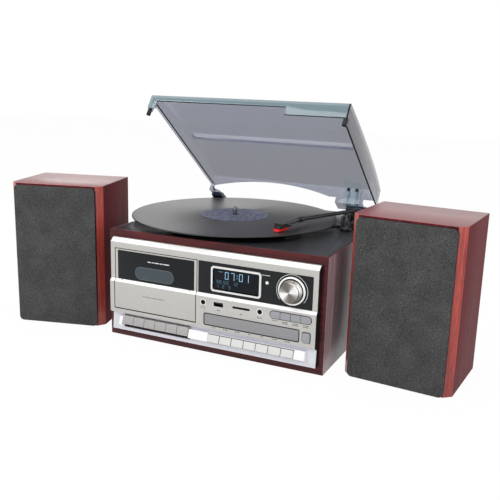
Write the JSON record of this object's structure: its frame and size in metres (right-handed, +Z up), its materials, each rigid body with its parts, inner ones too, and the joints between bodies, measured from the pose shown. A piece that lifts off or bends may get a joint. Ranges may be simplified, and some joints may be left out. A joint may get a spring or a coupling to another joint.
{
  "type": "stereo music centre",
  "caption": "Wooden music centre with record player, tape deck, disc drawer, radio display and smoked hinged dust cover, with separate wooden speakers.",
  "frame": {"origin": "centre of the main cabinet's underside; the table is 2 mm below it, under the foot pads and the speakers", "axes": "+X to the right seen from the front, +Y to the back, +Z up; the front faces -Y"},
  "size_m": [0.6713, 0.3279, 0.3326],
  "materials": {
    "wood": "mahogany stain, satin lacquer",
    "speaker_wood": "mahogany stain, satin lacquer",
    "back_board": "matt black",
    "rubber": "matt",
    "silver_plastic": "fine silver paint",
    "black_gloss": "gloss black",
    "display": "dark blue-black",
    "board": "green circuit board",
    "deck": "gloss black",
    "black_plastic": "satin black",
    "steel": "plain steel",
    "mechanism": "dark grey",
    "amplifier": "boards, heat sink and transformer",
    "platter": "matt black",
    "spindle": "polished",
    "vinyl": "fine grooves",
    "pulley": "turned",
    "arm": "satin black",
    "stylus": "red",
    "smoke": "smoked clear",
    "window": "smoked",
    "light_plastic": "plain",
    "key_plastic": "silver grey",
    "button_white": "milky, lit from behind",
    "knob": "turned and brushed",
    "driver": "black cone and basket",
    "cloth": "speckled grey speaker cloth"
  },
  "bodies": {
    "unit": {"cabinet": "wood", "back_panel": "back_board", "feet": "rubber", "fascia": "silver_plastic", "display_panel": "black_gloss", "display_window": "display", "control_board": "board", "deck_plate": "deck", "hinge_blocks": "black_plastic", "platter_motor": "steel", "tonearm_base": "black_plastic", "tape_mechanism": "mechanism", "disc_loader": "mechanism", "amplifier_board": "amplifier", "jack_sockets": "black_plastic", "drive_belt": "rubber"},
    "turntable": {"platter": "platter", "spindle": "spindle", "record": "vinyl"},
    "pulley": {"motor_pulley": "pulley"},
    "arm_yoke": {"arm_yoke": "black_plastic"},
    "tonearm": {"tonearm": "arm", "headshell": "black_plastic", "stylus": "stylus"},
    "cue_lever": {"cue_lever": "black_plastic"},
    "speed_selector": {"speed_selector": "black_plastic"},
    "dust_cover": {"dust_cover": "smoke", "hinge_knuckles": "black_plastic", "lid_bumpers": "rubber"},
    "tape_door": {"tape_door": "silver_plastic", "tape_window": "window"},
    "reel_hub_left": {"reel_hub_left": "light_plastic"},
    "reel_hub_right": {"reel_hub_right": "light_plastic"},
    "tape_key_1": {"tape_key_1": "key_plastic"},
    "tape_key_2": {"tape_key_2": "key_plastic"},
    "tape_key_3": {"tape_key_3": "key_plastic"},
    "tape_key_4": {"tape_key_4": "key_plastic"},
    "tape_key_5": {"tape_key_5": "key_plastic"},
    "tape_key_6": {"tape_key_6": "key_plastic"},
    "disc_tray": {"disc_tray": "key_plastic"},
    "disc_hub": {"disc_hub": "light_plastic"},
    "mode_button_1": {"mode_button_1": "key_plastic"},
    "mode_button_2": {"mode_button_2": "key_plastic"},
    "mode_button_3": {"mode_button_3": "key_plastic"},
    "mode_button_4": {"mode_button_4": "key_plastic"},
    "play_button_1": {"play_button_1": "button_white"},
    "play_button_2": {"play_button_2": "button_white"},
    "play_button_3": {"play_button_3": "button_white"},
    "play_button_4": {"play_button_4": "button_white"},
    "play_button_5": {"play_button_5": "button_white"},
    "play_button_6": {"play_button_6": "button_white"},
    "play_button_7": {"play_button_7": "button_white"},
    "power_button": {"power_button": "key_plastic"},
    "volume_knob": {"volume_knob": "knob"},
    "left_speaker": {"left_speaker_cabinet": "speaker_wood", "left_driver": "driver"},
    "left_grille": {"left_grille": "cloth"},
    "right_speaker": {"right_speaker_cabinet": "speaker_wood", "right_driver": "driver"},
    "right_grille": {"right_grille": "cloth"}
  },
  "joints": [
    {"name": "platter_spin", "type": "hinge", "parent": "unit", "child": "turntable", "pos_m": [-0.037, -0.009, 0.155], "axis": [0, 0, 1], "continuous": true},
    {"name": "pulley_spin", "type": "hinge", "parent": "unit", "child": "pulley", "pos_m": [-0.10909, -0.05948, 0.151], "axis": [0, 0, 1], "continuous": true},
    {"name": "arm_swing", "type": "hinge", "parent": "unit", "child": "arm_yoke", "pos_m": [0.124, 0.078, 0.16], "axis": [0, 0, 1], "range_deg": [-25.5, 13]},
    {"name": "arm_lift", "type": "hinge", "parent": "arm_yoke", "child": "tonearm", "pos_m": [0.124, 0.078, 0.171], "axis": [-0.9239, 0.3827, 0], "range_deg": [0, 8]},
    {"name": "cue_lever_turn", "type": "hinge", "parent": "unit", "child": "cue_lever", "pos_m": [0.132, 0.048, 0.1585], "axis": [-1, 0, 0], "range_deg": [0, 40]},
    {"name": "speed_turn", "type": "hinge", "parent": "unit", "child": "speed_selector", "pos_m": [0.128, 0.012, 0.154], "axis": [0, 0, 1], "range_deg": [-35, 35]},
    {"name": "cover_hinge", "type": "hinge", "parent": "unit", "child": "dust_cover", "pos_m": [0, 0.14, 0.1505], "axis": [-1, 0, 0], "range_deg": [-35, 20]},
    {"name": "tape_door_hinge", "type": "hinge", "parent": "unit", "child": "tape_door", "pos_m": [-0.08, -0.1605, 0.0465], "axis": [1, 0, 0], "range_deg": [0, 25]},
    {"name": "reel_left_spin", "type": "hinge", "parent": "unit", "child": "reel_hub_left", "pos_m": [-0.10125, -0.145, 0.0928], "axis": [0, 1, 0], "continuous": true},
    {"name": "reel_right_spin", "type": "hinge", "parent": "unit", "child": "reel_hub_right", "pos_m": [-0.05875, -0.145, 0.0928], "axis": [0, 1, 0], "continuous": true},
    {"name": "tape_key_1_press", "type": "hinge", "parent": "unit", "child": "tape_key_1", "pos_m": [-0.12312, -0.126, 0.03], "axis": [1, 0, 0], "range_deg": [0, 6.2], "stiffness_Nm_per_rad": 0.3, "springref_deg": -17.19},
    {"name": "tape_key_2_press", "type": "hinge", "parent": "unit", "child": "tape_key_2", "pos_m": [-0.10577, -0.126, 0.03], "axis": [1, 0, 0], "range_deg": [0, 6.2], "stiffness_Nm_per_rad": 0.3, "springref_deg": -17.19},
    {"name": "tape_key_3_press", "type": "hinge", "parent": "unit", "child": "tape_key_3", "pos_m": [-0.08843, -0.126, 0.03], "axis": [1, 0, 0], "range_deg": [0, 6.2], "stiffness_Nm_per_rad": 0.3, "springref_deg": -17.19},
    {"name": "tape_key_4_press", "type": "hinge", "parent": "unit", "child": "tape_key_4", "pos_m": [-0.07107, -0.126, 0.03], "axis": [1, 0, 0], "range_deg": [0, 6.2], "stiffness_Nm_per_rad": 0.3, "springref_deg": -17.19},
    {"name": "tape_key_5_press", "type": "hinge", "parent": "unit", "child": "tape_key_5", "pos_m": [-0.05373, -0.126, 0.03], "axis": [1, 0, 0], "range_deg": [0, 6.2], "stiffness_Nm_per_rad": 0.3, "springref_deg": -17.19},
    {"name": "tape_key_6_press", "type": "hinge", "parent": "unit", "child": "tape_key_6", "pos_m": [-0.03637, -0.126, 0.03], "axis": [1, 0, 0], "range_deg": [0, 6.2], "stiffness_Nm_per_rad": 0.3, "springref_deg": -17.19},
    {"name": "disc_tray_slide", "type": "slide", "parent": "unit", "child": "disc_tray", "axis": [0, -1, 0], "range_m": [0, 0.13]},
    {"name": "disc_spin", "type": "hinge", "parent": "unit", "child": "disc_hub", "pos_m": [0.0633, -0.0935, 0.048], "axis": [0, 0, 1], "continuous": true},
    {"name": "mode_button_1_press", "type": "slide", "parent": "unit", "child": "mode_button_1", "axis": [0, 1, 0], "range_m": [0, 0.0012], "stiffness_N_per_m": 400, "springref_m": -0.002},
    {"name": "mode_button_2_press", "type": "slide", "parent": "unit", "child": "mode_button_2", "axis": [0, 1, 0], "range_m": [0, 0.0012], "stiffness_N_per_m": 400, "springref_m": -0.002},
    {"name": "mode_button_3_press", "type": "slide", "parent": "unit", "child": "mode_button_3", "axis": [0, 1, 0], "range_m": [0, 0.0012], "stiffness_N_per_m": 400, "springref_m": -0.002},
    {"name": "mode_button_4_press", "type": "slide", "parent": "unit", "child": "mode_button_4", "axis": [0, 1, 0], "range_m": [0, 0.0012], "stiffness_N_per_m": 400, "springref_m": -0.002},
    {"name": "play_button_1_press", "type": "slide", "parent": "unit", "child": "play_button_1", "axis": [0, 1, 0], "range_m": [0, 0.0015], "stiffness_N_per_m": 400, "springref_m": -0.002},
    {"name": "play_button_2_press", "type": "slide", "parent": "unit", "child": "play_button_2", "axis": [0, 1, 0], "range_m": [0, 0.0015], "stiffness_N_per_m": 400, "springref_m": -0.002},
    {"name": "play_button_3_press", "type": "slide", "parent": "unit", "child": "play_button_3", "axis": [0, 1, 0], "range_m": [0, 0.0015], "stiffness_N_per_m": 400, "springref_m": -0.002},
    {"name": "play_button_4_press", "type": "slide", "parent": "unit", "child": "play_button_4", "axis": [0, 1, 0], "range_m": [0, 0.0015], "stiffness_N_per_m": 400, "springref_m": -0.002},
    {"name": "play_button_5_press", "type": "slide", "parent": "unit", "child": "play_button_5", "axis": [0, 1, 0], "range_m": [0, 0.0015], "stiffness_N_per_m": 400, "springref_m": -0.002},
    {"name": "play_button_6_press", "type": "slide", "parent": "unit", "child": "play_button_6", "axis": [0, 1, 0], "range_m": [0, 0.0015], "stiffness_N_per_m": 400, "springref_m": -0.002},
    {"name": "play_button_7_press", "type": "slide", "parent": "unit", "child": "play_button_7", "axis": [0, 1, 0], "range_m": [0, 0.0015], "stiffness_N_per_m": 400, "springref_m": -0.002},
    {"name": "power_button_press", "type": "slide", "parent": "unit", "child": "power_button", "axis": [0, 1, 0], "range_m": [0, 0.003], "stiffness_N_per_m": 300, "springref_m": -0.004},
    {"name": "volume_turn", "type": "hinge", "parent": "unit", "child": "volume_knob", "pos_m": [0.1172, -0.165, 0.1066], "axis": [0, 1, 0], "continuous": true},
    {"name": "left_speaker_slide", "type": "slide", "parent": "unit", "child": "left_speaker", "axis": [-1, 0, 0], "range_m": [0, 0.3]},
    {"name": "left_grille_pull", "type": "slide", "parent": "left_speaker", "child": "left_grille", "axis": [0.2588, -0.9659, 0], "range_m": [0, 0.012]},
    {"name": "right_speaker_slide", "type": "slide", "parent": "unit", "child": "right_speaker", "axis": [1, 0, 0], "range_m": [0, 0.3]},
    {"name": "right_grille_pull", "type": "slide", "parent": "right_speaker", "child": "right_grille", "axis": [-0.0872, -0.9962, 0], "range_m": [0, 0.012]}
  ],
  "couplings": [
    {"joint": "pulley_spin", "follows": "platter_spin", "ratio": 11.667}
  ]
}
